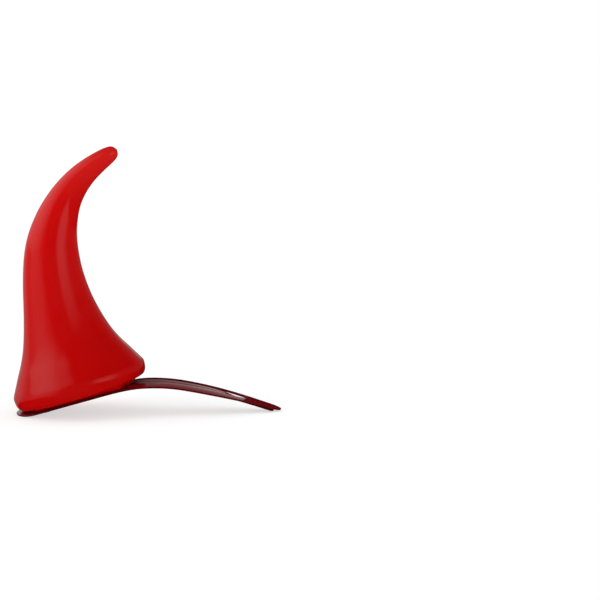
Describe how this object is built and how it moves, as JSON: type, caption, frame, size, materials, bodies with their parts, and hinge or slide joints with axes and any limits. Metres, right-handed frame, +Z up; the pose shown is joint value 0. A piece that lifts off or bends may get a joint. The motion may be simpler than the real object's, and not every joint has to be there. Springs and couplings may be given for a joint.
{
  "type": "devil horn hair clip",
  "caption": "Hollow curved plastic devil horn with a flared foot, standing on the wide end of an arched sheet-steel snap hair clip whose riveted tongue opens to grip hair.",
  "frame": {"origin": "middle of the footprint of the whole box, on the surface that the clip rests on", "axes": "+Z up, +X from the clip's wide end, under the horn, to its narrow tip, Y across the clip"},
  "size_m": [0.0602, 0.0292, 0.0597],
  "materials": {
    "horn_plastic": "smooth glossy red plastic",
    "clip_paint": "glossy dark red paint on spring steel"
  },
  "bodies": {
    "tongue": {"tongue_blade": "clip_paint"},
    "horn_and_frame": {"horn": "horn_plastic", "clip_frame": "clip_paint", "tongue_root": "clip_paint", "rivet_near": "clip_paint", "rivet_far": "clip_paint"}
  },
  "joints": [
    {"name": "tongue_opening", "type": "hinge", "parent": "tongue", "child": "horn_and_frame", "pos_m": [-0.01974, 0, 0.0021], "axis": [0, -1, 0], "range_deg": [0, 12]}
  ]
}
